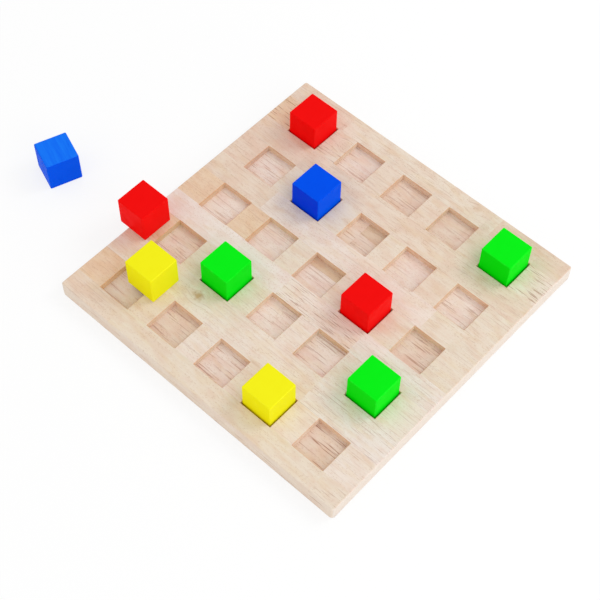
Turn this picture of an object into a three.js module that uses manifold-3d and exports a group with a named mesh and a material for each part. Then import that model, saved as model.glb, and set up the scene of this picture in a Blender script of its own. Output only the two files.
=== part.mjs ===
// Corner strategy board game: a square wooden board with a five-by-five grid of shallow
// square pockets, and ten painted wooden cubes, seven in their pockets and three put down
// by hand. Millimetres, +Z up. The origin is the centre of the board's underside, +X runs
// along the grain and +Y across it.
//
// The board is glued up from plain sticks, which is what leaves the pockets square: base
// staves lie side by side, and on them lie long rails with short blocks between them. A
// pocket is the space that two rails and two blocks leave open above the base.
import * as THREE from 'three';
import { mergeVertices } from 'three/addons/utils/BufferGeometryUtils.js';
import Module from 'manifold-3d';

// Cubes and their fit in a pocket
const CUBE_SIDE = 25.4;
const CUBE_CORNER_RADIUS = 0.9;
const CUBE_EASE = 0.5;
const FAR_WALL_GAP = 0.3; // to the -X and +Y walls, which a seated cube is pushed towards
const NEAR_WALL_GAP = 1.0; // to the +X and -Y walls
const POCKET_SIDE = CUBE_SIDE + FAR_WALL_GAP + NEAR_WALL_GAP;

// Board
const POCKET_DEPTH = 5; // thickness of the rails and blocks
const BASE_THICKNESS = 8;
const BASE_STAVE_COUNT = 5;
const BLOCK_LENGTHS = [22.7, 19.5, 18.3, 16.7, 19.7, 23.6]; // along X, counted from -X
const RAIL_WIDTHS = [16.6, 24.5, 19.5, 20.5, 20.9, 18.5]; // across Y, counted from -Y
const BOARD_CORNER_RADIUS = 3;
const BOARD_EASE = 0.8;

// Cubes in pockets: rows are counted from the -Y edge and columns from the -X edge
const SEATED_CUBES = [
  { name: 'red_cube_1', paint: 'red', column: 1, row: 5 },
  { name: 'red_cube_2', paint: 'red', column: 4, row: 3 },
  { name: 'blue_cube_1', paint: 'blue', column: 2, row: 4 },
  { name: 'green_cube_1', paint: 'green', column: 5, row: 5 },
  { name: 'green_cube_2', paint: 'green', column: 2, row: 2 },
  { name: 'green_cube_3', paint: 'green', column: 5, row: 2 },
  { name: 'yellow_cube_1', paint: 'yellow', column: 4, row: 1 },
];

// Cubes put down by hand
const RIM_CUBE_OVERHANG = 8; // past the board's -X edge
const RIM_CUBE_ROW = 2;
const RIM_CUBE_ROW_OFFSET = -3.6; // from the middle of that row
const FACE_CUBE_COLUMN = 1;
const FACE_CUBE_ROW = 1;
const FACE_CUBE_OFFSET_X = 10.4; // from the middle of that pocket
const FACE_CUBE_OFFSET_Y = 14.9;
const TABLE_CUBE_DISTANCE = 82; // from the board's -X edge to the cube's middle
const TABLE_CUBE_ROW = 2;
const TABLE_CUBE_ROW_OFFSET = -9.2;
const TABLE_CUBE_TURN = 70; // degrees about Z

// Finishes
const PAINT_COLOURS = { red: '#e81414', blue: '#0a4fdc', green: '#10dc1c', yellow: '#f0e51c' };
const LATTICE_COLOUR = '#e6d3bd';
const BASE_COLOUR = '#dfc3ae';
const PAINT_ROUGHNESS = 0.45;
const WOOD_ROUGHNESS = 0.65;

// Fineness of rounded edges
const CORNER_STEPS = 4;
const EASE_STEPS = 2;

const wasm = await Module();
wasm.setup();

/** Adds the numbers of a list. */
function sum(values) {
  return values.reduce((total, value) => total + value, 0);
}

/** Lays sticks of the given widths along an axis, a pocket apart, centred on zero. */
function layOut(widths) {
  const sticks = [];
  const pockets = [];
  let start = -(sum(widths) + (widths.length - 1) * POCKET_SIDE) / 2;
  for (const width of widths) {
    const end = start + width;
    sticks.push({ start, end });
    start = end + POCKET_SIDE;
    pockets.push({ start: end, end: start });
  }
  pockets.pop();
  return { sticks, pockets, start: sticks[0].start, end: sticks.at(-1).end };
}

const alongX = layOut(BLOCK_LENGTHS);
const acrossY = layOut(RAIL_WIDTHS);
const boardLength = alongX.end - alongX.start;
const boardWidth = acrossY.end - acrossY.start;
const boardHeight = BASE_THICKNESS + POCKET_DEPTH;

/** A slab standing on z = 0 with round upright corners and eased top and bottom edges. */
function easedSlab(length, width, height, cornerRadius, ease) {
  const x = length / 2;
  const y = width / 2;
  const outline = new THREE.Shape();
  outline.absarc(x - cornerRadius, y - cornerRadius, cornerRadius, 0, Math.PI / 2);
  outline.absarc(-x + cornerRadius, y - cornerRadius, cornerRadius, Math.PI / 2, Math.PI);
  outline.absarc(-x + cornerRadius, -y + cornerRadius, cornerRadius, Math.PI, Math.PI * 1.5);
  outline.absarc(x - cornerRadius, -y + cornerRadius, cornerRadius, Math.PI * 1.5, Math.PI * 2);
  const geometry = new THREE.ExtrudeGeometry(outline, {
    depth: height - 2 * ease,
    curveSegments: CORNER_STEPS,
    bevelEnabled: true,
    bevelThickness: ease,
    bevelSize: ease,
    bevelOffset: -ease,
    bevelSegments: EASE_STEPS,
  });
  return geometry.translate(0, 0, ease);
}

/** Turns a closed geometry into a solid that can be cut. */
function toSolid(geometry) {
  const plain = geometry.clone();
  plain.deleteAttribute('normal');
  plain.deleteAttribute('uv');
  const merged = mergeVertices(plain);
  return new wasm.Manifold(new wasm.Mesh({
    numProp: 3,
    vertProperties: new Float32Array(merged.attributes.position.array),
    triVerts: new Uint32Array(merged.index.array),
  }));
}

/** Turns a solid back into a geometry with flat faces. */
function toGeometry(solid) {
  const mesh = solid.getMesh();
  const shared = new THREE.BufferGeometry();
  shared.setAttribute('position', new THREE.BufferAttribute(mesh.vertProperties, 3));
  shared.setIndex(new THREE.BufferAttribute(mesh.triVerts, 1));
  const geometry = shared.toNonIndexed();
  geometry.computeVertexNormals();
  return geometry;
}

/** The whole board's outside, which every stick is trimmed to after the glue-up. */
const boardEnvelope = toSolid(
  easedSlab(boardLength, boardWidth, boardHeight, BOARD_CORNER_RADIUS, BOARD_EASE),
);

/** A named mesh with its own material. */
function makeMesh(name, geometry, colour, roughness) {
  const material = new THREE.MeshStandardMaterial({ color: colour, roughness, metalness: 0 });
  const mesh = new THREE.Mesh(geometry, material);
  mesh.name = name;
  return mesh;
}

/** A glued stick that fills the given spans, trimmed to the board's outside. */
function makeStick(name, spanX, spanY, bottom, top, colour) {
  const box = new THREE.BoxGeometry(spanX.end - spanX.start, spanY.end - spanY.start, top - bottom);
  box.translate((spanX.start + spanX.end) / 2, (spanY.start + spanY.end) / 2, (bottom + top) / 2);
  const trimmed = toSolid(box).intersect(boardEnvelope);
  return makeMesh(name, toGeometry(trimmed), colour, WOOD_ROUGHNESS);
}

/** Base staves side by side, each as long as the board. */
function makeBase() {
  const base = new THREE.Group();
  const staveWidth = boardWidth / BASE_STAVE_COUNT;
  for (let index = 0; index < BASE_STAVE_COUNT; index += 1) {
    const start = acrossY.start + index * staveWidth;
    const spanY = { start, end: start + staveWidth };
    base.add(makeStick(`base_stave_${index + 1}`, alongX, spanY, 0, BASE_THICKNESS, BASE_COLOUR));
  }
  return base;
}

/** Rails along the whole board, and the blocks that close each row's pockets between them. */
function makeLattice() {
  const lattice = new THREE.Group();
  acrossY.sticks.forEach((spanY, index) => {
    const name = `rail_${index + 1}`;
    lattice.add(makeStick(name, alongX, spanY, BASE_THICKNESS, boardHeight, LATTICE_COLOUR));
  });
  acrossY.pockets.forEach((spanY, row) => {
    alongX.sticks.forEach((spanX, index) => {
      const name = `row_${row + 1}_block_${index + 1}`;
      lattice.add(makeStick(name, spanX, spanY, BASE_THICKNESS, boardHeight, LATTICE_COLOUR));
    });
  });
  return lattice;
}

/** A painted cube with its underside at the given place. */
function makeCube(name, paint, x, y, z, turn = 0) {
  const geometry = easedSlab(CUBE_SIDE, CUBE_SIDE, CUBE_SIDE, CUBE_CORNER_RADIUS, CUBE_EASE);
  const cube = makeMesh(name, geometry, PAINT_COLOURS[paint], PAINT_ROUGHNESS);
  cube.position.set(x, y, z);
  cube.rotation.z = THREE.MathUtils.degToRad(turn);
  return cube;
}

/** The middle of a span. */
function middle(span) {
  return (span.start + span.end) / 2;
}

/** All ten cubes: those in pockets on the base, and those on the face and on the table. */
function makeCubes() {
  const cubes = new THREE.Group();
  for (const { name, paint, column, row } of SEATED_CUBES) {
    const x = alongX.pockets[column - 1].start + FAR_WALL_GAP + CUBE_SIDE / 2;
    const y = acrossY.pockets[row - 1].end - FAR_WALL_GAP - CUBE_SIDE / 2;
    cubes.add(makeCube(name, paint, x, y, BASE_THICKNESS));
  }
  const rimX = alongX.start - RIM_CUBE_OVERHANG + CUBE_SIDE / 2;
  const rimY = middle(acrossY.pockets[RIM_CUBE_ROW - 1]) + RIM_CUBE_ROW_OFFSET;
  cubes.add(makeCube('red_cube_3', 'red', rimX, rimY, boardHeight));
  const faceX = middle(alongX.pockets[FACE_CUBE_COLUMN - 1]) + FACE_CUBE_OFFSET_X;
  const faceY = middle(acrossY.pockets[FACE_CUBE_ROW - 1]) + FACE_CUBE_OFFSET_Y;
  cubes.add(makeCube('yellow_cube_2', 'yellow', faceX, faceY, boardHeight));
  const tableX = alongX.start - TABLE_CUBE_DISTANCE;
  const tableY = middle(acrossY.pockets[TABLE_CUBE_ROW - 1]) + TABLE_CUBE_ROW_OFFSET;
  cubes.add(makeCube('blue_cube_2', 'blue', tableX, tableY, 0, TABLE_CUBE_TURN));
  return cubes;
}

const boardGame = new THREE.Group();
boardGame.add(makeBase(), makeLattice(), makeCubes());

export default boardGame;
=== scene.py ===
"""Looks of a corner strategy board game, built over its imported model.

A square hardwood board, glued up from sticks, has a five-by-five grid of shallow square
pockets. Ten painted wooden cubes go with it: seven stand in pockets, one on the face, one on
the rim and one on the table. Lengths are in metres unless a name or a comment says
millimetres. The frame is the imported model's: +X along the grain, +Y across it, +Z up.
"""
import logging
import math
import random
from dataclasses import dataclass, field, replace
from enum import Enum
from functools import partial
from typing import ClassVar

import bmesh
import bpy
from mathutils import Matrix, Vector


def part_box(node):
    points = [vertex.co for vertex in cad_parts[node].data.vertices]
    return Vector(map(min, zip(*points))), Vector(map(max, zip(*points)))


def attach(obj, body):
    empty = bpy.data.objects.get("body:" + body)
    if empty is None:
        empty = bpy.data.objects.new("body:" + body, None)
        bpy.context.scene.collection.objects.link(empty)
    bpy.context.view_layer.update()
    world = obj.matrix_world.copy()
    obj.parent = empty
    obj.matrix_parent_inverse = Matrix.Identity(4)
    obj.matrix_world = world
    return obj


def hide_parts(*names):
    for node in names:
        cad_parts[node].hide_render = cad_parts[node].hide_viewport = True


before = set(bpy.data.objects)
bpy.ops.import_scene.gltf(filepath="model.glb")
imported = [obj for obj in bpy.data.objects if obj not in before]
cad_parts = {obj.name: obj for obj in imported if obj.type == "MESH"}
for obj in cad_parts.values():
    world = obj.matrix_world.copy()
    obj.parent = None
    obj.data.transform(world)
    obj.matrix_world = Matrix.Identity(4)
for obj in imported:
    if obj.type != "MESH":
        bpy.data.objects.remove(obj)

LOG = logging.getLogger("board_game")
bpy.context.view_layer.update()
MM = 0.001
PER_METRE = 1000.0  # millimetres
SHARP_ANGLE = math.radians(40)
LARGE_FACE_WEIGHT = 100
WAVE_STEP = 20.0  # phase of the wave texture, in radians, for each unit of its scale
NOISE_SPAN = (0.3, 0.7)  # what a noise texture mostly stays between

# Kinds of node
MATH = "ShaderNodeMath"
VECTOR_MATH = "ShaderNodeVectorMath"
MAP_RANGE = "ShaderNodeMapRange"
MAPPING = "ShaderNodeMapping"
NOISE = "ShaderNodeTexNoise"

Colour = tuple[float, float, float, float]
Pair = tuple[float, float]
Triple = tuple[float, float, float]
Settings = dict[str | int, object]
Material = bpy.types.Material
Piece = bpy.types.Object
Socket = bpy.types.NodeSocket
Tree = bpy.types.NodeTree


def linear(hex_colour: str) -> Colour:
    """Turns an sRGB hex colour into linear light.

    Args:
        hex_colour: the colour as "#rrggbb".

    Returns:
        Red, green, blue and an alpha of one.
    """
    parts = [int(hex_colour[start:start + 2], 16) / 255 for start in (1, 3, 5)]
    light = [part / 12.92 if part <= 0.04045 else ((part + 0.055) / 1.055) ** 2.4 for part in parts]
    return (light[0], light[1], light[2], 1.0)


def add_node(tree: Tree, kind: str, inputs: Settings | None = None,
             **settings: object) -> bpy.types.Node:
    """Adds a node to a tree with its settings, values and links.

    Args:
        tree: the tree.
        kind: the node's type name.
        inputs: for an input's name or number, its value, or the output that it is linked to, which
            may be given as a node if it is the node's first.
        settings: the node's own properties.

    Returns:
        The new node.
    """
    node = tree.nodes.new(kind)
    for name, value in settings.items():
        setattr(node, name, value)
    for key, value in (inputs or {}).items():
        source = value.outputs[0] if isinstance(value, bpy.types.Node) else value
        if isinstance(source, Socket):
            tree.links.new(source, node.inputs[key])
        else:
            node.inputs[key].default_value = source
    return node


def limits(side: str, span: Pair) -> Settings:
    """Names the two ends of the span that a Map Range node maps from or to."""
    return {f"{side} Min": span[0], f"{side} Max": span[1]}


def bare_tree(owner: Material | bpy.types.World) -> Tree:
    """Gives a material or a world an empty node tree.

    Args:
        owner: the material or the world.

    Returns:
        Its tree.
    """
    owner.use_nodes = True
    owner.node_tree.nodes.clear()
    return owner.node_tree


def new_piece(name: str, mesh: bpy.types.Mesh) -> Piece:
    """Puts a mesh into the scene as an object at the origin.

    Args:
        name: the object's name.
        mesh: its mesh, with its place in it.

    Returns:
        The new object.
    """
    piece = bpy.data.objects.new(name, mesh)
    bpy.context.scene.collection.objects.link(piece)
    return piece


def apply_modifiers(piece: Piece) -> None:
    """Turns what a piece's modifiers make into its plain mesh.

    Args:
        piece: the object, which has no modifier afterwards.
    """
    depsgraph = bpy.context.evaluated_depsgraph_get()
    rough = piece.data
    made = bpy.data.meshes.new_from_object(
        piece.evaluated_get(depsgraph), preserve_all_data_layers=True, depsgraph=depsgraph)
    piece.modifiers.clear()
    piece.data = made
    bpy.data.meshes.remove(rough)
    made.name = piece.name


def soften_edges(piece: Piece) -> None:
    """Shades a piece's small rounded edges smoothly and keeps its large faces flat.

    Args:
        piece: the object, whose normals are weighted by face area.
    """
    for polygon in piece.data.polygons:
        polygon.use_smooth = True
    piece.data.set_sharp_from_angle(angle=SHARP_ANGLE)
    weighted = piece.modifiers.new("face weighted normals", "WEIGHTED_NORMAL")
    weighted.weight = LARGE_FACE_WEIGHT
    weighted.keep_sharp = True
    apply_modifiers(piece)


class Tone(Enum):
    """Tones of steamed beech in one glue-up, from the palest to the warmest, and a painted shade
    colour for the pockets' long walls.
    """

    IVORY = "#eee1d9"
    CREAM = "#edded2"
    PALE = "#e9dac9"
    HONEY = "#e8d5c3"
    BISCUIT = "#e6d0be"
    TAN = "#e8cdb2"
    FLOOR = "#efded3"
    DUSK = "#e8d3c3"
    UMBER = "#dec4ab"
    # painted shade colour of the pockets' long walls
    WALL = "#f0dac4"
    END = "#e6dace"
    SIDE = "#eadac9"


class EdgeKind(Enum):
    """How an upright side of a stick is finished, with the rounding of its arris in millimetres."""

    GLUED = 0.0
    RIM = 0.7
    OUTSIDE = 1.1


class Paint(Enum):
    """The four colours of cubes."""

    RED = "red"
    BLUE = "blue"
    GREEN = "green"
    YELLOW = "yellow"


Corner = tuple[float, float, EdgeKind]
Stretch = tuple[float, EdgeKind]


@dataclass(frozen=True)
class Length:
    """One length of wood in a stick, as a stick may be butted from several."""

    tone: Tone
    streaks: float
    end: float = math.inf  # where it ends along X, in millimetres
    knot: Triple = (9000.0, 9000.0, 0.0)  # place on the face in mm, far off if none, and depth
    strip: tuple[float, Tone] | None = None  # from this Y on, in millimetres, it has another tone


@dataclass(frozen=True)
class NoiseLayer:
    """One layer of a finish, from noise that may be drawn out along the grain."""

    size: Triple  # of the noise, in millimetres
    detail: float  # octaves of finer noise
    span: Pair  # how high the noise is where the layer starts to show and where it is full
    depth: Pair  # how much of the layer there is at these two heights
    roughness: float = 0.55  # of the noise

    def lay(self, tree: Tree, place: Socket) -> tuple[Socket, Socket]:
        """Adds the layer to a material.

        Args:
            tree: the material's tree.
            place: the place in the wood, in millimetres.

        Returns:
            The noise, and the layer's mask.
        """
        sized = add_node(tree, MAPPING, {
            "Vector": place, "Scale": tuple(1 / part for part in self.size)})
        noise = add_node(tree, NOISE, {
            "Vector": sized, "Scale": 1.0, "Detail": self.detail, "Roughness": self.roughness})
        mask = add_node(tree, MAP_RANGE, {
            "Value": noise, **limits("From", self.span), **limits("To", self.depth)})
        return noise.outputs["Fac"], mask.outputs[0]


@dataclass(frozen=True)
class SandedBeech:
    """Steamed beech, planed, glued up and sanded, with a thin matt oil.

    Straight pale grain, with short brown flecks along it, faint growth rings, pinkish and
    straw-coloured patches, a knot where a stick has one, and a warm, darker painted shade on the
    walls and rims of the pockets. All lengths here are in millimetres.
    """

    name: str
    pink: NoiseLayer = NoiseLayer((16.0, 8.0, 8.0), 2.0, (0.45, 0.62), (0.0, 0.65))
    straw: NoiseLayer = NoiseLayer((18.0, 6.0, 6.0), 2.0, (0.5, 0.66), (0.0, 0.6))
    fibre: NoiseLayer = NoiseLayer((24.0, 0.75, 0.75), 3.0, (0.4, 0.7), (0.0, 0.4))
    streaks: NoiseLayer = NoiseLayer((16.0, 0.8, 0.8), 1.5, (0.58, 0.66), (0.0, 1.0))
    fleck_zones: NoiseLayer = NoiseLayer((30.0, 6.0, 6.0), 1.0, (0.38, 0.64), (0.25, 0.65))
    straw_shift: Triple = (310.0, 170.0, 90.0)  # so that it doesn't follow the pink patches
    fleck_length: float = 2.6
    fleck_width: float = 0.68  # real flecks are 0.3 mm wide, drawn wider to show at all
    fleck_span: Pair = (0.14, 0.34)  # where a fleck starts to fade and where it ends, in flecks
    ring_width: float = 3.4
    ring_span: Pair = (0.3, 0.95)  # where in a ring the late wood starts and where it is full
    ring_depth: float = 0.4
    ring_tilt: Triple = (0.0, 0.035, 0.022)  # radians
    ring_taper: float = 0.04  # how fast the rings change along the grain
    ring_waver: float = 5.0
    knot_length: float = 4.6
    knot_width: float = 4.4
    knot_reach: float = 2.6  # how far out the grain bends round a knot, in knots
    knot_bend: float = 0.8
    knot_heart: Pair = (0.85, 1.9)  # where the brown heart starts to fade and where it ends
    knot_rag: float = 1.5  # how ragged the heart's outline is
    knot_rag_scale: float = 0.35  # per millimetre
    pink_tint: str = "#f9eee9"
    straw_tint: str = "#fcf6ea"
    fibre_tint: str = "#f9f5f0"
    streak_tint: str = "#bfa08f"
    fleck_tint: str = "#dcc8b7"
    ring_tint: str = "#faf6f1"
    knot_tint: str = "#d8b587"
    # painted shade of the pockets' walls and rims, warm and darker
    pocket_shade_tint: str = "#f1cfae"
    fleck_relief: float = 2.0  # how much deeper than the fibres
    relief_depth: float = 0.05
    relief_strength: float = 0.35
    roughness: Pair = (0.51, 0.68)
    ior: float = 1.5
    sheen: float = 0.3

    def make(self) -> Material:
        """Builds the material.

        Returns:
            A material that reads the wood attributes of a stick's faces.
        """
        material = bpy.data.materials.new(self.name)
        tree = bare_tree(material)
        add = partial(add_node, tree)
        place, knot_mask = self.place_in_log(tree)
        tone, streakiness, cut, plain = (
            add("ShaderNodeAttribute", attribute_name=f"wood_{name}").outputs
            for name in ("tone", "streaks", "cut", "plain"))

        # Growth rings round a pith below the stick, tilted a little so that the figure runs out
        tilted = add(MAPPING, {"Vector": place, "Rotation": self.ring_tilt})
        tapered = add(MAPPING, {"Vector": tilted, "Scale": (self.ring_taper, 1, 1)})
        rings = add("ShaderNodeTexWave", {
            "Vector": tapered, "Scale": math.tau / WAVE_STEP / self.ring_width,
            "Distortion": self.ring_waver, "Detail": 2.0, "Detail Scale": 1.4},
            wave_type="RINGS", rings_direction="X", wave_profile="SAW")
        late_wood = add(MAP_RANGE, {
            "Value": rings.outputs["Fac"], **limits("From", self.ring_span),
            "To Max": self.ring_depth}, interpolation_type="SMOOTHSTEP")

        # Broad patches, fibres along the grain, and streaks as strong as the stick's attribute says
        _, pink_mask = self.pink.lay(tree, place)
        elsewhere = add(VECTOR_MATH, {0: place, 1: self.straw_shift}, operation="ADD")
        _, straw_mask = self.straw.lay(tree, elsewhere.outputs[0])
        fibre, fibre_mask = self.fibre.lay(tree, place)
        _, streak_line = self.streaks.lay(tree, place)
        streak_mask = add(MATH, {0: streak_line, 1: streakiness["Fac"]}, operation="MULTIPLY")

        # Flecks: short dashes, dense in some zones and sparse in others
        cells = add(MAPPING, {
            "Vector": place,
            "Scale": (1 / self.fleck_length, 1 / self.fleck_width, 1 / self.fleck_width)})
        fleck = add("ShaderNodeTexVoronoi", {"Vector": cells, "Scale": 1.0})
        dash = add(MAP_RANGE, {
            "Value": fleck, **limits("From", self.fleck_span), "To Min": 1.0, "To Max": 0.0})
        _, zone_mask = self.fleck_zones.lay(tree, place)
        fleck_mask = add(MATH, {0: dash, 1: zone_mask}, operation="MULTIPLY")

        colour = tone["Color"]
        # The last layer is painted shade on the pockets' walls and rims
        layers = (
            (pink_mask, self.pink_tint), (straw_mask, self.straw_tint),
            (late_wood, self.ring_tint), (fibre_mask, self.fibre_tint),
            (streak_mask, self.streak_tint), (fleck_mask, self.fleck_tint),
            (knot_mask, self.knot_tint), (cut["Fac"], self.pocket_shade_tint))
        for mask, tint in layers:
            layer = add("ShaderNodeMix", {0: mask, 6: colour, 7: linear(tint)},
                        data_type="RGBA", blend_type="MULTIPLY")
            colour = layer.outputs[2]
        sanded = add("ShaderNodeMix", {
            0: plain["Fac"], 6: colour, 7: tone["Color"]}, data_type="RGBA")

        relief = add(MATH, {
            0: fleck_mask, 1: self.fleck_relief, 2: fibre_mask}, operation="MULTIPLY_ADD")
        bump = add("ShaderNodeBump", {
            "Height": relief, "Strength": self.relief_strength,
            "Distance": self.relief_depth * MM}, invert=True)
        roughness = add(MAP_RANGE, {
            "Value": fibre, **limits("From", NOISE_SPAN), **limits("To", self.roughness)})
        shader = add("ShaderNodeBsdfPrincipled", {
            "Base Color": sanded.outputs[2], "Roughness": roughness,
            "Normal": bump, "IOR": self.ior, "Specular IOR Level": self.sheen})
        add("ShaderNodeOutputMaterial", {"Surface": shader})
        return material

    def place_in_log(self, tree: Tree) -> tuple[Socket, Socket]:
        """Adds the place in the log that a point of the stick was cut from.

        Args:
            tree: the material's tree.

        Returns:
            The place in millimetres, with the pith along X through the origin and the grain
            bent round the knot, and a mask of the knot's brown heart.
        """
        add = partial(add_node, tree)
        here = add("ShaderNodeTexCoord").outputs["Object"]
        shift = add("ShaderNodeAttribute", attribute_name="wood_shift").outputs["Vector"]
        knot = add("ShaderNodeAttribute", attribute_name="wood_knot").outputs["Vector"]
        moved = add(VECTOR_MATH, {0: here, 1: shift}, operation="ADD")
        place = add(VECTOR_MATH, {0: moved, "Scale": PER_METRE}, operation="SCALE").outputs[0]
        offset = add(VECTOR_MATH, {0: here, 1: knot}, operation="SUBTRACT")
        spans = (PER_METRE / self.knot_length, PER_METRE / self.knot_width, 0.0)
        in_knots = add(VECTOR_MATH, {0: offset, 1: spans}, operation="MULTIPLY")
        distance = add(VECTOR_MATH, {0: in_knots}, operation="LENGTH").outputs["Value"]

        # The grain bends sideways round the knot
        bend = add(MAP_RANGE, {
            "Value": distance, "From Max": self.knot_reach,
            "To Min": self.knot_bend, "To Max": 0.0}, interpolation_type="SMOOTHSTEP")
        aside = add(VECTOR_MATH, {0: offset, 1: (0.0, -PER_METRE, 0.0)}, operation="MULTIPLY")
        bent = add(VECTOR_MATH, {0: aside, "Scale": bend}, operation="SCALE")
        final = add(VECTOR_MATH, {0: place, 1: bent}, operation="ADD")

        # The heart is as dark as the third number of the knot's attribute says
        rag = add(NOISE, {"Vector": place, "Scale": self.knot_rag_scale, "Detail": 2.0})
        outline = add(MATH, {0: rag, 1: self.knot_rag, 2: distance}, operation="MULTIPLY_ADD")
        depth = add("ShaderNodeSeparateXYZ", {0: knot})
        heart = add(MAP_RANGE, {
            "Value": outline, **limits("From", self.knot_heart),
            "To Min": depth.outputs["Z"], "To Max": 0.0})
        return final.outputs[0], heart.outputs[0]


@dataclass(frozen=True)
class SatinPaint:
    """Sprayed acrylic on a sanded wooden cube.

    An even strong colour with a soft sheen. The wood's grain shows through in lighter streaks
    where the coat is thin, which some cubes have more of than others, with painted light on top;
    the coat is a little mottled, handled edges are slightly lighter, and the two faces at both
    ends of the cube's own Y carry painted shade. All lengths here are in millimetres.
    """

    name: str
    colour: str
    side_shade: str  # painted shade on the faces at both ends of the cube's own Y
    thin: str  # where the grain shows through, and painted light on the top face
    full: str  # where the coat is thickest
    worn: str  # on handled edges
    grain: NoiseLayer = NoiseLayer((2.2, 30.0, 2.2), 2.0, (0.35, 0.65), (0.5, 0.85), 0.6)
    mottle: NoiseLayer = NoiseLayer((7.0, 7.0, 7.0), 2.0, (0.4, 0.7), (0.0, 0.3), 0.5)
    scuffs: NoiseLayer = NoiseLayer((5 / 3,) * 3, 3.0, (0.45, 0.65), (0.05, 0.35), 0.5)
    relief_depth: float = 0.06
    relief_strength: float = 0.15
    roughness: Pair = (0.4, 0.54)
    flatness: float = 0.0  # how much the pigment scatters light back, as a flat coat does
    ior: float = 1.48
    sheen: float = 0.02

    def make(self) -> Material:
        """Builds the material.

        Returns:
            A material that reads the paint attributes of a cube's points.
        """
        material = bpy.data.materials.new(self.name)
        tree = bare_tree(material)
        add = partial(add_node, tree)
        local, edge, thinness, end_grain = (
            add("ShaderNodeAttribute", attribute_name=f"paint_{name}").outputs
            for name in ("place", "edge", "thinness", "end_grain"))
        place = add(VECTOR_MATH, {
            0: local["Vector"], "Scale": PER_METRE}, operation="SCALE").outputs[0]

        # Raised grain under the film along the cube's own Y, whose lighter colour is painted light
        # on top too, mottling, and scuffs on the edges
        grain, grain_line = self.grain.lay(tree, place)
        grain_and_highlight_mask = add(MATH, {0: grain_line, 1: thinness["Fac"]}, operation="MULTIPLY")
        mottle, mottle_mask = self.mottle.lay(tree, place)
        _, scuff_mask = self.scuffs.lay(tree, place)
        wear = add(MATH, {0: scuff_mask, 1: edge["Fac"]}, operation="MULTIPLY")

        colour = linear(self.colour)
        # The first layer is painted shade on the faces at both ends of the cube's own Y
        layers = (
            (end_grain["Fac"], self.side_shade), (mottle_mask, self.full),
            (grain_and_highlight_mask, self.thin), (wear, self.worn))
        for mask, tint in layers:
            layer = add("ShaderNodeMix", {0: mask, 6: colour, 7: linear(tint)}, data_type="RGBA")
            colour = layer.outputs[2]

        bump = add("ShaderNodeBump", {
            "Height": grain, "Strength": self.relief_strength, "Distance": self.relief_depth * MM})
        roughness = add(MAP_RANGE, {
            "Value": mottle, **limits("From", NOISE_SPAN), **limits("To", self.roughness)})
        shader = add("ShaderNodeBsdfPrincipled", {
            "Base Color": colour, "Roughness": roughness, "Normal": bump,
            "Diffuse Roughness": self.flatness, "IOR": self.ior, "Specular IOR Level": self.sheen})
        add("ShaderNodeOutputMaterial", {"Surface": shader})
        return material


FACE_WOOD = SandedBeech("beech_sanded_face")
FLOOR_WOOD = SandedBeech(
    "beech_planed_floor", pink_tint="#f8eae6", streak_tint="#c6a799",
    streaks=NoiseLayer((22.0, 1.1, 1.1), 1.5, (0.58, 0.67), (0.0, 1.0)),
    fleck_zones=replace(SandedBeech.fleck_zones, depth=(0.25, 0.75)))
PAINTS = {
    Paint.RED: SatinPaint(
        "acrylic_sprayed_red", "#f50e0e", "#fd0605", "#f82c28", "#f00c0c", "#f9322c",
        flatness=1.0),
    Paint.BLUE: SatinPaint(
        "acrylic_sprayed_blue", "#0057ef", "#0038e7", "#1f8afb", "#004fe7", "#2f7cfa",
        flatness=1.0),
    Paint.GREEN: SatinPaint(
        "acrylic_sprayed_green", "#05ee16", "#00e804", "#30f53a", "#04e812", "#48f84c"),
    Paint.YELLOW: SatinPaint(
        "acrylic_sprayed_yellow", "#f4ef19", "#f7f007", "#f7f540", "#f2ea14", "#f9f64c"),
}


class ShapeTree:
    """A Geometry Nodes tree with named inputs, and the pieces that it shapes."""

    NAME: str
    INPUTS: dict[str, str]  # what kind of socket each is

    def __init__(self) -> None:
        """Makes the tree with its inputs and its nodes."""
        self.tree = bpy.data.node_groups.new(self.NAME, "GeometryNodeTree")
        new_socket = self.tree.interface.new_socket
        new_socket("Geometry", in_out="OUTPUT", socket_type="NodeSocketGeometry")
        self.identifiers: dict[str, str] = {}
        for label, kind in self.INPUTS.items():
            socket = new_socket(label, in_out="INPUT", socket_type=f"NodeSocket{kind}")
            self.identifiers[label] = socket.identifier
        self.given = self.tree.nodes.new("NodeGroupInput").outputs
        self.add = partial(add_node, self.tree)
        self.lay()

    def lay(self) -> None:
        """Lays the tree's nodes, which each kind of shape does in its own way."""
        raise NotImplementedError

    def close(self, shape: bpy.types.Node) -> None:
        """Ends the tree: real geometry with the given material.

        Args:
            shape: the node that gives the finished shape.
        """
        real = self.add("GeometryNodeRealizeInstances", {0: shape})
        dressed = self.add("GeometryNodeSetMaterial", {
            "Geometry": real, "Material": self.given["Material"]})
        self.add("NodeGroupOutput", {0: dressed})

    def piece(self, name: str, values: dict[str, object]) -> Piece:
        """Shapes one piece.

        Args:
            name: the piece's name.
            values: a value for each of the tree's inputs.

        Returns:
            The piece with a plain mesh.
        """
        piece = new_piece(name, bpy.data.meshes.new(name))
        modifier = piece.modifiers.new(self.tree.name, "NODES")
        modifier.node_group = self.tree
        for label, value in values.items():
            modifier[self.identifiers[label]] = value
        apply_modifiers(piece)
        return piece


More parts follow.
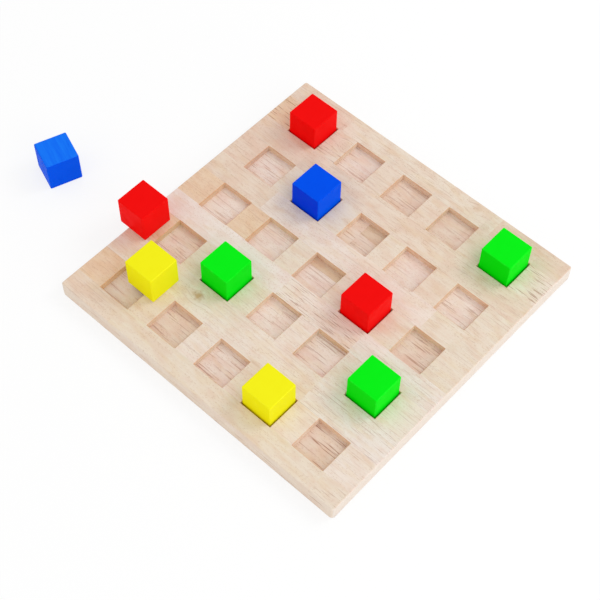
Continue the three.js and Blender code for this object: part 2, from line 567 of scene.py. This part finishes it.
class BlockTree(ShapeTree):
    """A short block whose two end arrises are rounded, each by its own radius."""

    NAME = "eased block"
    INPUTS = {"Low": "Vector", "High": "Vector", "Low End Rounding": "Float",
              "High End Rounding": "Float", "Material": "Material"}
    ROUNDING_STEPS = 4

    def lay(self) -> None:
        """Sweeps a section with two rounded upper corners from rail to rail."""
        add = self.add
        given = self.given
        size = add(VECTOR_MATH, {0: given["High"], 1: given["Low"]}, operation="SUBTRACT")
        both = add(VECTOR_MATH, {0: given["Low"], 1: given["High"]}, operation="ADD")
        centre = add(VECTOR_MATH, {0: both, "Scale": 0.5}, operation="SCALE")
        parts = add("ShaderNodeSeparateXYZ", {0: size})
        section = add("GeometryNodeCurvePrimitiveQuadrilateral", {
            "Width": parts.outputs["X"], "Height": parts.outputs["Z"]}, mode="RECTANGLE")
        corner = add("ShaderNodeSeparateXYZ", {0: add("GeometryNodeInputPosition")})
        high_end, upper = (
            add("FunctionNodeCompare", {0: corner.outputs[axis], 1: 0.0}, operation="GREATER_THAN")
            for axis in "XY")
        end_radius = add("GeometryNodeSwitch", {
            0: high_end, 1: given["Low End Rounding"], 2: given["High End Rounding"]},
            input_type="FLOAT")
        radius = add("GeometryNodeSwitch", {0: upper, 1: 0.0, 2: end_radius}, input_type="FLOAT")
        eased = add("GeometryNodeFilletCurve", {
            "Curve": section, "Radius": radius, "Count": self.ROUNDING_STEPS}, mode="POLY")
        half = add(MATH, {0: parts.outputs["Y"], 1: 0.5}, operation="MULTIPLY")
        back = add(MATH, {0: half, 1: -1.0}, operation="MULTIPLY")
        start = add("ShaderNodeCombineXYZ", {"Z": back})
        end = add("ShaderNodeCombineXYZ", {"Z": half})
        path = add("GeometryNodeCurvePrimitiveLine", {"Start": start, "End": end})
        swept = add("GeometryNodeCurveToMesh", {
            "Curve": path, "Profile Curve": eased, "Fill Caps": True})
        set_down = add("GeometryNodeTransform", {
            "Geometry": swept, "Translation": centre, "Rotation": (math.pi / 2, 0, 0)})
        self.close(set_down)


class CubeTree(ShapeTree):
    """A cube with rounded edges and the slight unevenness of a sanded and painted one."""

    NAME = "painted cube"
    INPUTS = {"Side": "Float", "Edge Radius": "Float", "Unevenness": "Float", "Place": "Vector",
              "Turn": "Float", "Seed": "Float", "Thinness": "Float", "Material": "Material"}
    SIDE_POINTS = 16
    FLAT_SHARE = 0.3  # of a unit cube's side, from its middle, that is the flat of a face
    DENT_SCALE = 110.0  # per metre
    SEED_STEP = (0.11, 0.07, 0.05)  # metres between the places in the paint of two cubes
    EDGE_SPAN = (1.0, 1.25)  # length of the leaning vector at the flat and on the edge
    FACING_SPAN = (0.6, 0.9)  # how far a normal points one way at a face's edge and on its flat
    SIDE_THINNESS_AND_HIGHLIGHT = 0.1  # of the thin coat's lighter colour, painted light on top, what the sides and the underside have

    def lay(self) -> None:
        """Rounds a unit cube's outer points on arcs, dents it softly and sets it in its place."""
        add = self.add
        given = self.given
        unit = add("GeometryNodeMeshCube", {
            "Size": (1, 1, 1), **{f"Vertices {axis}": self.SIDE_POINTS for axis in "XYZ"}})
        position = add("GeometryNodeInputPosition")
        away = add(VECTOR_MATH, {0: position}, operation="ABSOLUTE")
        sign = add(VECTOR_MATH, {0: position}, operation="SIGN")
        flat_share = (self.FLAT_SHARE,) * 3

        # The flat of each face runs to one edge radius from the cube's side
        flat = add(VECTOR_MATH, {0: away, 1: flat_share}, operation="MINIMUM")
        half = add(MATH, {0: given["Side"], 1: 0.5}, operation="MULTIPLY")
        reach = add(MATH, {0: half, 1: given["Edge Radius"]}, operation="SUBTRACT")
        per_share = add(MATH, {0: reach, 1: self.FLAT_SHARE}, operation="DIVIDE")
        core = add(VECTOR_MATH, {0: flat, "Scale": per_share}, operation="SCALE")
        core_place = add(VECTOR_MATH, {0: core, 1: sign}, operation="MULTIPLY")

        # The rest of the points turn through equal angles round the edge
        past = add(VECTOR_MATH, {0: away, 1: flat}, operation="SUBTRACT")
        angle = add(VECTOR_MATH, {
            0: past, "Scale": math.pi / 4 / (0.5 - self.FLAT_SHARE)}, operation="SCALE")
        lean = add(VECTOR_MATH, {0: angle}, operation="TANGENT")
        outward = add(VECTOR_MATH, {0: lean, 1: sign}, operation="MULTIPLY")
        normal = add(VECTOR_MATH, {0: outward}, operation="NORMALIZE")

        # Shallow dents, always inwards, so that the cube is never larger than its solid
        noise = add(NOISE, {
            "Vector": core_place, "W": given["Seed"],
            "Scale": self.DENT_SCALE, "Detail": 2.0}, noise_dimensions="4D")
        dent = add(MATH, {0: noise, 1: given["Unevenness"]}, operation="MULTIPLY")
        radius = add(MATH, {0: given["Edge Radius"], 1: dent}, operation="SUBTRACT")
        rounding = add(VECTOR_MATH, {0: normal, "Scale": radius}, operation="SCALE")
        surface = add(VECTOR_MATH, {0: core_place, 1: rounding}, operation="ADD")

        # How far a point is from square to any face: 0 on the flats, 1 in the middle of an edge
        length = add(VECTOR_MATH, {0: outward}, operation="LENGTH")
        edge = add(MAP_RANGE, {"Value": length.outputs["Value"], **limits("From", self.EDGE_SPAN)})

        # Painted light on top, where a thin coat's lighter colour is strongest, and painted shade
        # on the faces at both ends of Y, full unless the coat is thin
        facing = add("ShaderNodeSeparateXYZ", {0: normal})
        on_top = add(MAP_RANGE, {
            "Value": facing.outputs["Z"], **limits("From", self.FACING_SPAN),
            "To Min": self.SIDE_THINNESS_AND_HIGHLIGHT})
        thinness = add(MATH, {0: on_top, 1: given["Thinness"]}, operation="MULTIPLY")
        along = add(MATH, {0: facing.outputs["Y"]}, operation="ABSOLUTE")
        side_shade_strength = add(MATH, {0: 1.0, 1: given["Thinness"]}, operation="SUBTRACT")
        end_grain = add(MAP_RANGE, {
            "Value": along, **limits("From", self.FACING_SPAN), "To Max": side_shade_strength})
        marked = unit.outputs["Mesh"]
        for name, value in (("edge", edge), ("thinness", thinness), ("end_grain", end_grain)):
            marked = add("GeometryNodeStoreNamedAttribute", {
                "Geometry": marked, "Name": f"paint_{name}", "Value": value},
                data_type="FLOAT", domain="POINT")
        shaped = add("GeometryNodeSetPosition", {"Geometry": marked, "Position": surface})
        shift = add(VECTOR_MATH, {0: self.SEED_STEP, "Scale": given["Seed"]}, operation="SCALE")
        shifted = add(VECTOR_MATH, {0: position, 1: shift}, operation="ADD")
        placed = add("GeometryNodeStoreNamedAttribute", {
            "Geometry": shaped, "Name": "paint_place", "Value": shifted},
            data_type="FLOAT_VECTOR", domain="POINT")
        turn = add("ShaderNodeCombineXYZ", {"Z": given["Turn"]})
        set_down = add("GeometryNodeTransform", {
            "Geometry": placed, "Translation": given["Place"], "Rotation": turn})
        self.close(set_down)


@dataclass
class Stick:
    """One glued stick of the board, with the finish along each side and its lengths of wood."""

    ALONG: ClassVar[Vector] = Vector((1, 0, 0))
    ACROSS: ClassVar[Vector] = Vector((0, 1, 0))
    CUT_REACH: ClassVar[float] = 0.001 * MM  # how near a point counts as on a cut
    node: str
    near: list[Stretch]  # stretches of the -Y side: where each ends along X
    far: list[Stretch]  # the same of the +Y side
    lengths: list[Length]
    corner_radius: float = 1.9 * MM
    corner_steps: int = 8
    rounding_steps: int = 4

    def outline(self) -> list[Corner]:
        """Walks round the stick, seen from above.

        Returns:
            Corner points, each with the finish of the side that starts there.
        """
        low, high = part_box(self.node)
        near_radius = self.corner_radius if self.near[0][1] is EdgeKind.OUTSIDE else 0.0
        far_radius = self.corner_radius if self.far[0][1] is EdgeKind.OUTSIDE else 0.0
        points: list[Corner] = []
        x = low.x + near_radius
        for end, kind in self.near:
            points.append((x, low.y, kind))
            x = end
        points += self.corner(high.x, low.y, near_radius, -math.pi / 2)
        points.append((high.x, low.y + near_radius, EdgeKind.OUTSIDE))
        points += self.corner(high.x, high.y, far_radius, 0.0)
        x = high.x - far_radius
        starts = [low.x + far_radius] + [end for end, _ in self.far[:-1]]
        for start, (_, kind) in reversed(list(zip(starts, self.far))):
            points.append((x, high.y, kind))
            x = start
        points += self.corner(low.x, high.y, far_radius, math.pi / 2)
        points.append((low.x, high.y - far_radius, EdgeKind.OUTSIDE))
        points += self.corner(low.x, low.y, near_radius, math.pi)
        return points

    def corner(self, x: float, y: float, radius: float, start: float) -> list[Corner]:
        """Walks round a rounded corner of the board.

        Args:
            x: the sharp corner's place along X.
            y: the sharp corner's place along Y.
            radius: the rounding, or zero for a corner inside the board.
            start: the angle at which the rounding starts.

        Returns:
            Points on the rounding, without its last one.
        """
        if radius == 0:
            return []
        middle_angle = start + math.pi / 4
        x -= math.copysign(radius, math.cos(middle_angle))
        y -= math.copysign(radius, math.sin(middle_angle))
        steps = range(self.corner_steps)
        angles = [start + math.pi / 2 * step / self.corner_steps for step in steps]
        return [(x + radius * math.cos(angle), y + radius * math.sin(angle), EdgeKind.OUTSIDE)
                for angle in angles]

    def build(self, round_top: bool) -> Piece:
        """Makes the stick's mesh.

        Args:
            round_top: whether the upper arrises are finished, or else the lower ones.

        Returns:
            The piece, without a material.
        """
        low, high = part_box(self.node)
        outline = self.outline()
        mesh = bmesh.new()
        finish = mesh.edges.layers.string.new("finish")
        lower = [mesh.verts.new((x, y, low.z)) for x, y, _ in outline]
        upper = [mesh.verts.new((x, y, high.z)) for x, y, _ in outline]
        mesh.faces.new(list(reversed(lower)))
        mesh.faces.new(upper)
        for index, (_, _, kind) in enumerate(outline):
            after = (index + 1) % len(outline)
            mesh.faces.new((lower[index], lower[after], upper[after], upper[index]))
            arris = upper if round_top else lower
            mesh.edges.get((arris[index], arris[after]))[finish] = kind.name.encode()
        for end, _ in self.near[:-1] or self.far[:-1]:
            self.cut(mesh, self.ALONG, end)
        for kind in (EdgeKind.OUTSIDE, EdgeKind.RIM):
            edges = [edge for edge in mesh.edges if edge[finish] == kind.name.encode()]
            bmesh.ops.bevel(mesh, geom=edges, offset=kind.value * MM, offset_type="OFFSET",
                            segments=self.rounding_steps, profile=0.5, affect="EDGES")
        for length in self.lengths[:-1]:
            self.cut(mesh, self.ALONG, length.end * MM)
        for length in self.lengths:
            if length.strip:
                self.cut(mesh, self.ACROSS, length.strip[0] * MM)
        mesh.edges.layers.string.remove(finish)
        made = bpy.data.meshes.new(f"{self.node}_wood")
        mesh.to_mesh(made)
        mesh.free()
        return new_piece(f"{self.node}_wood", made)

    def cut(self, mesh: bmesh.types.BMesh, axis: Vector, place: float) -> None:
        """Cuts all faces in two at a plane, so that a rounding or a tone can end there.

        Args:
            mesh: the stick's mesh.
            axis: the axis that the plane is square to.
            place: where it is along the axis.
        """
        parts = [*mesh.verts, *mesh.edges, *mesh.faces]
        bmesh.ops.bisect_plane(
            mesh, geom=parts, dist=self.CUT_REACH, plane_co=axis * place, plane_no=axis)


@dataclass
class Board:
    """The board: base staves, rails along the grain and short blocks between the rails."""

    ATTRIBUTES: ClassVar[dict[str, str]] = {
        "wood_tone": "FLOAT_COLOR", "wood_streaks": "FLOAT", "wood_cut": "FLOAT",
        "wood_plain": "FLOAT", "wood_shift": "FLOAT_VECTOR", "wood_knot": "FLOAT_VECTOR"}
    SQUARE_ON: ClassVar[float] = 0.8  # a face whose normal points this far one way is square to it
    FLAT: ClassVar[float] = 0.95  # the same without any of a rounding
    LEANING: ClassVar[float] = 0.1  # a face that points this far up is part of a rim's rounding
    rows: int = 5
    columns: int = 5
    stave_count: int = 5
    outside_margin: float = 3.5 * MM  # how near to the outside a face belongs to it
    log_length: float = 4.0
    pith_aside: float = 0.02  # how far to the side of a stick the log's pith may be
    pith_depth: Pair = (0.018, 0.05)  # how far below it
    wall_shade: float = 0.18  # how much painted shade a pocket's walls have
    rim_shade: float = 0.7  # the same on their upper arrises
    end_plainness: float = 0.75  # how much of the figure fine sanding hides on the outer ends
    side_plainness: float = 0.4  # the same on the outer long sides
    # What each stick is butted from, from -X to +X. The blocks of a row come from one stick.
    lengths: dict[str, list[Length]] = field(default_factory=lambda: {
        "rail 1": [
            Length(Tone.HONEY, 0.2, -80.0), Length(Tone.PALE, 0.05, 105.6), Length(Tone.PALE, 0.4)],
        "rail 2": [Length(Tone.CREAM, 0.2, 58.0, (-49.1, -69.4, 0.8)), Length(Tone.IVORY, 0.4)],
        "rail 3": [
            Length(Tone.IVORY, 0.0, -11.6), Length(Tone.CREAM, 0.8, 56.0), Length(Tone.IVORY, 0.3)],
        "rail 4": [
            Length(Tone.HONEY, 0.2, -70.0), Length(Tone.CREAM, 0.2, 80.0), Length(Tone.PALE, 0.2)],
        "rail 5": [Length(Tone.BISCUIT, 0.2, -66.0), Length(Tone.HONEY, 0.3)],
        "rail 6": [
            Length(Tone.HONEY, 0.3, -74.0),
            Length(Tone.PALE, 0.3, 66.0, (46.0, 121.0, 0.25)), Length(Tone.BISCUIT, 0.15)],
        "row 1": [
            Length(Tone.TAN, 0.2, -85.0), Length(Tone.HONEY, 0.1, -45.0), Length(Tone.CREAM, 0.2)],
        "row 2": [
            Length(Tone.TAN, 0.2, -90.0), Length(Tone.PALE, 0.2, 0.0), Length(Tone.CREAM, 0.3)],
        "row 3": [Length(Tone.TAN, 0.2, -45.0), Length(Tone.PALE, 0.15)],
        "row 4": [
            Length(Tone.BISCUIT, 0.3, -90.0), Length(Tone.PALE, 0.1, 45.0),
            Length(Tone.HONEY, 0.1, 90.0), Length(Tone.PALE, 0.3)],
        "row 5": [
            Length(Tone.TAN, 0.8, -90.0),
            Length(Tone.PALE, 0.5, -45.0, (-62.0, 100.0, 0.2)),
            Length(Tone.HONEY, 0.2, 90.0), Length(Tone.CREAM, 0.8)],
        # Each strip gives the far part of a pocket's floor, along its +Y wall, a darker tone
        "stave 1": [
            Length(Tone.FLOOR, 0.5, -68.0), Length(Tone.DUSK, 0.6, -22.0),
            Length(Tone.FLOOR, 0.8, 22.0), Length(Tone.DUSK, 1.0)],
        "stave 2": [
            Length(Tone.FLOOR, 0.5, -68.0, strip=(-43.5, Tone.DUSK)),
            Length(Tone.FLOOR, 0.5, 22.0), Length(Tone.FLOOR, 0.6)],
        "stave 3": [
            Length(Tone.FLOOR, 0.4, -68.0), Length(Tone.FLOOR, 0.3, -22.0),
            Length(Tone.FLOOR, 0.4, 22.0, strip=(6.0, Tone.UMBER)), Length(Tone.DUSK, 0.7)],
        "stave 4": [
            Length(Tone.FLOOR, 0.6, -22.0), Length(Tone.DUSK, 0.6, -4.0),
            Length(Tone.DUSK, 0.4, 22.0, strip=(49.5, Tone.UMBER)),
            Length(Tone.FLOOR, 0.3, 67.0), Length(Tone.FLOOR, 0.6)],
        "stave 5": [
            Length(Tone.FLOOR, 0.7, -22.0), Length(Tone.DUSK, 0.5, 22.0), Length(Tone.DUSK, 0.5)],
    })

    def build(self) -> None:
        """Builds and dresses all the sticks."""
        face_wood = FACE_WOOD.make()
        floor_wood = FLOOR_WOOD.make()
        self.low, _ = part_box("base_stave_1")
        _, self.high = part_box(f"rail_{self.rows + 1}")
        outside = [(math.inf, EdgeKind.OUTSIDE)]
        glued = [(math.inf, EdgeKind.GLUED)]

        # Base staves, counted from -Y
        for number in range(1, self.stave_count + 1):
            name = f"stave {number}"
            near = outside if number == 1 else glued
            far = outside if number == self.stave_count else glued
            stick = Stick(f"base_stave_{number}", near, far, self.lengths[name])
            self.dress(stick.build(round_top=False), name, stick.node, floor_wood)

        # Rails, whose sides are pocket rims where no block meets them
        for number in range(1, self.rows + 2):
            name = f"rail {number}"
            near = outside if number == 1 else self.rim_stretches(number - 1)
            far = outside if number == self.rows + 1 else self.rim_stretches(number)
            stick = Stick(f"rail_{number}", near, far, self.lengths[name])
            self.dress(stick.build(round_top=True), name, stick.node, face_wood)

        # Blocks, with rims at their pockets and a rounded edge on the board's outside
        tree = BlockTree()
        for row in range(1, self.rows + 1):
            for number in range(1, self.columns + 2):
                node = f"row_{row}_block_{number}"
                low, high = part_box(node)
                low_end = EdgeKind.OUTSIDE if number == 1 else EdgeKind.RIM
                high_end = EdgeKind.OUTSIDE if number == self.columns + 1 else EdgeKind.RIM
                piece = tree.piece(f"{node}_wood", {
                    "Low": low, "High": high, "Low End Rounding": low_end.value * MM,
                    "High End Rounding": high_end.value * MM, "Material": face_wood})
                self.dress(piece, f"row {row}", node, face_wood)

    def rim_stretches(self, row: int) -> list[Stretch]:
        """Lists where blocks and pockets alternate along a row.

        Args:
            row: the row of pockets, counted from -Y.

        Returns:
            Where each stretch ends along X, and its finish.
        """
        stretches: list[Stretch] = []
        for number in range(1, self.columns + 1):
            _, block_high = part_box(f"row_{row}_block_{number}")
            next_low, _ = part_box(f"row_{row}_block_{number + 1}")
            stretches.append((block_high.x, EdgeKind.GLUED))
            stretches.append((next_low.x, EdgeKind.RIM))
        stretches.append((math.inf, EdgeKind.GLUED))
        return stretches

    def dress(self, piece: Piece, stick: str, node: str, wood: Material) -> None:
        """Gives a stick its wood and stands it in for its solid.

        Args:
            piece: the stick, or a block that was cut from it.
            stick: the stick's name, which picks its lengths of wood and fixes their grain.
            node: the solid's name.
            wood: its material.
        """
        if not piece.data.materials:
            piece.data.materials.append(wood)
        soften_edges(piece)
        mesh = piece.data
        lengths = self.lengths[stick]
        for name, kind in self.ATTRIBUTES.items():
            mesh.attributes.new(name, kind, "FACE")
        tone, streaks, cut, plain, shift, knot = (mesh.attributes[name] for name in self.ATTRIBUTES)
        shifts = [self.log_shift(f"{stick} {index}", mesh) for index in range(len(lengths))]
        for polygon in mesh.polygons:
            x = polygon.center.x
            index = next(i for i, length in enumerate(lengths) if x < length.end * MM)
            length = lengths[index]
            face_tone, plainness, painted_shade = self.surface(polygon)
            own_tone = length.tone
            if length.strip and polygon.center.y > length.strip[0] * MM:
                own_tone = length.strip[1]
            knot_x, knot_y, knot_depth = length.knot
            face = polygon.index
            tone.data[face].color = linear((face_tone or own_tone).value)
            streaks.data[face].value = length.streaks
            # wood_cut holds the painted shade of the pockets' walls and rims
            cut.data[face].value = painted_shade
            plain.data[face].value = plainness
            shift.data[face].vector = shifts[index]
            knot.data[face].vector = (knot_x * MM, knot_y * MM, knot_depth)
        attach(piece, "board")
        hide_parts(node)
        LOG.info("%s: %d faces", piece.name, len(mesh.polygons))

    def log_shift(self, name: str, mesh: bpy.types.Mesh) -> Vector:
        """Picks the place in a log that a length of wood is cut from.

        Args:
            name: a name that no other length has, which fixes the choice.
            mesh: the stick's mesh.

        Returns:
            What is added to a point's place to give its place from the log's pith.
        """
        chance = random.Random(name)
        middle = sum((vertex.co for vertex in mesh.vertices), Vector()) / len(mesh.vertices)
        along = chance.uniform(0.0, self.log_length)
        across = chance.uniform(-self.pith_aside, self.pith_aside)
        height = chance.uniform(*self.pith_depth)
        return Vector((along, across - middle.y, height - middle.z))

    def surface(self, polygon: bpy.types.MeshPolygon) -> tuple[Tone | None, float, float]:
        """Tells how the saw and the sander left a face, and how much painted shade it has.

        Args:
            polygon: the face.

        Returns:
            The tone that it has in place of its wood's, if any, a painted shade colour on the
            pockets' long walls, how plain it is, and how much painted shade it has, as pocket walls
            and rims do.
        """
        margin = self.outside_margin
        centre = polygon.center
        normal = polygon.normal
        at_end = centre.x < self.low.x + margin or centre.x > self.high.x - margin
        at_side = centre.y < self.low.y + margin or centre.y > self.high.y - margin
        # Pocket walls and rims get painted shade; the outer faces and the flat faces get none
        painted_shade = self.rim_shade if normal.z > self.LEANING else self.wall_shade
        if at_end or at_side or abs(normal.z) > self.FLAT:
            painted_shade = 0.0
        if abs(normal.z) > self.SQUARE_ON:
            return None, 0.0, painted_shade
        if at_end and abs(normal.x) > abs(normal.y):
            return Tone.END, self.end_plainness, painted_shade
        if at_side:
            return Tone.SIDE, self.side_plainness, painted_shade
        # The pockets' long walls get a painted shade colour
        return Tone.WALL if abs(normal.y) > self.SQUARE_ON else None, 0.0, painted_shade


@dataclass
class CubeSet:
    """The ten loose cubes."""

    edge_radius: float = 0.92 * MM
    unevenness: float = 0.06 * MM
    turns: dict[str, float] = field(default_factory=lambda: {"blue_cube_2": 70.0})  # degrees
    # blue_cube_2's thin coat shows the grain and paints its top face lighter, as painted light
    thin_coats_and_highlights: dict[str, float] = field(default_factory=lambda: {"blue_cube_2": 1.0})
    usual_coat_and_highlight: float = 0.04  # how much of its grain, and of painted light on its top, a cube shows unless it has a thin coat

    def build(self) -> None:
        """Builds the cubes and stands them in for their solids."""
        tree = CubeTree()
        finishes = {paint: PAINTS[paint].make() for paint in Paint}
        nodes = sorted(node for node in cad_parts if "_cube_" in node)
        for seed, node in enumerate(nodes, start=1):
            paint = Paint(node.split("_")[0])
            low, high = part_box(node)
            piece = tree.piece(f"{node}_painted", {
                "Side": high.z - low.z, "Edge Radius": self.edge_radius,
                "Unevenness": self.unevenness, "Place": (low + high) / 2,
                "Turn": math.radians(self.turns.get(node, 0.0)), "Seed": float(seed),
                "Thinness": self.thin_coats_and_highlights.get(node, self.usual_coat_and_highlight),
                "Material": finishes[paint]})
            soften_edges(piece)
            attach(piece, node)
            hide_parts(node)
            LOG.info("%s: %d faces", piece.name, len(piece.data.polygons))


@dataclass(frozen=True)
class Lamp:
    """A large round lamp that shines on the board."""

    name: str
    place: Triple
    size: float
    power: float  # watts

    def hang(self) -> None:
        """Puts the lamp into the scene."""
        lamp = bpy.data.lights.new(self.name, "AREA")
        lamp.shape = "DISK"
        lamp.size = self.size
        lamp.energy = self.power
        holder = bpy.data.objects.new(self.name, lamp)
        holder.location = self.place
        holder.rotation_euler = (-Vector(self.place)).to_track_quat("-Z", "Y").to_euler()
        bpy.context.scene.collection.objects.link(holder)


@dataclass
class Studio:
    """A white table under a white dome, three soft lamps and the camera."""

    camera_place: Triple = (0.3503, -0.4157, 0.8221)
    camera_target: Triple = (0.00477, -0.02417, 0.013)
    camera_roll: float = 1.207  # degrees
    camera_clip: Pair = (0.01, 50.0)
    lens: float = 83.42  # millimetres
    sensor: float = 36.0  # millimetres
    table_size: float = 12.0
    table_drop: float = 0.1 * MM  # below the underside, so that no two faces share a plane
    table_colour: str = "#fdfdfd"
    table_glow: float = 0.76  # share of plain white in what the eye sees of the table
    sky_strength: float = 0.785
    lamps: tuple[Lamp, ...] = (
        Lamp("key", (0.7, 1.2, 1.45), 0.9, 8.6),
        Lamp("right fill", (1.85, -0.2, 0.76), 1.6, 8.2),
        Lamp("left fill", (-0.3, -1.85, 0.8), 1.6, 2.4),
    )

    def build(self) -> None:
        """Builds the table, the light and the camera."""
        self.table()
        self.sky()
        for lamp in self.lamps:
            lamp.hang()
        self.camera()
        bpy.context.scene.view_settings.view_transform = "Standard"

    def seen_white(self, tree: Tree) -> Socket:
        """Adds a switch for rays that should meet plain white.

        Args:
            tree: a material's or the world's tree.

        Returns:
            One for camera, glossy and transmission rays, and otherwise zero.
        """
        rays = add_node(tree, "ShaderNodeLightPath").outputs
        mirrored = add_node(tree, MATH, {
            0: rays["Is Camera Ray"], 1: rays["Is Glossy Ray"]}, operation="MAXIMUM")
        either = add_node(tree, MATH, {
            0: mirrored, 1: rays["Is Transmission Ray"]}, operation="MAXIMUM")
        return either.outputs[0]

    def table(self) -> None:
        """Lays the table: white to the eye, with the object's shadow kept on it."""
        half = self.table_size / 2
        mesh = bpy.data.meshes.new("table")
        corners = [(-half, -half), (half, -half), (half, half), (-half, half)]
        mesh.from_pydata([(x, y, -self.table_drop) for x, y in corners], [], [(0, 1, 2, 3)])
        material = bpy.data.materials.new("white_laminate")
        tree = bare_tree(material)
        add = partial(add_node, tree)
        white = self.seen_white(tree)
        shadowed = add("ShaderNodeBsdfDiffuse", {"Color": linear(self.table_colour)})
        bright = add("ShaderNodeEmission", {"Color": (1, 1, 1, 1), "Strength": 1.0})
        share = add(MATH, {0: white, 1: self.table_glow}, operation="MULTIPLY")
        surface = add("ShaderNodeMixShader", {0: share, 1: shadowed, 2: bright})
        add("ShaderNodeOutputMaterial", {"Surface": surface})
        mesh.materials.append(material)
        new_piece("table", mesh)

    def sky(self) -> None:
        """Hangs an even white dome round everything."""
        world = bpy.data.worlds.new("white_dome")
        tree = bare_tree(world)
        add = partial(add_node, tree)
        strength = add(MAP_RANGE, {
            "Value": self.seen_white(tree), "To Min": self.sky_strength, "To Max": 1.0})
        dome = add("ShaderNodeBackground", {"Color": (1, 1, 1, 1), "Strength": strength})
        add("ShaderNodeOutputWorld", {"Surface": dome})
        bpy.context.scene.world = world

    def camera(self) -> None:
        """Sets up the camera."""
        lens = bpy.data.cameras.new("camera")
        lens.sensor_width = self.sensor
        lens.lens = self.lens
        lens.clip_start, lens.clip_end = self.camera_clip
        holder = bpy.data.objects.new("camera", lens)
        place = Vector(self.camera_place)
        level = (Vector(self.camera_target) - place).to_track_quat("-Z", "Y").to_matrix().to_4x4()
        roll = Matrix.Rotation(math.radians(self.camera_roll), 4, "Z")
        holder.matrix_world = Matrix.Translation(place) @ level @ roll
        bpy.context.scene.collection.objects.link(holder)
        bpy.context.scene.camera = holder


def main() -> None:
    """Builds the board, the cubes and the studio."""
    logging.basicConfig(level=logging.INFO, format="%(message)s")
    Board().build()
    CubeSet().build()
    Studio().build()


if __name__ == "__main__":
    main()
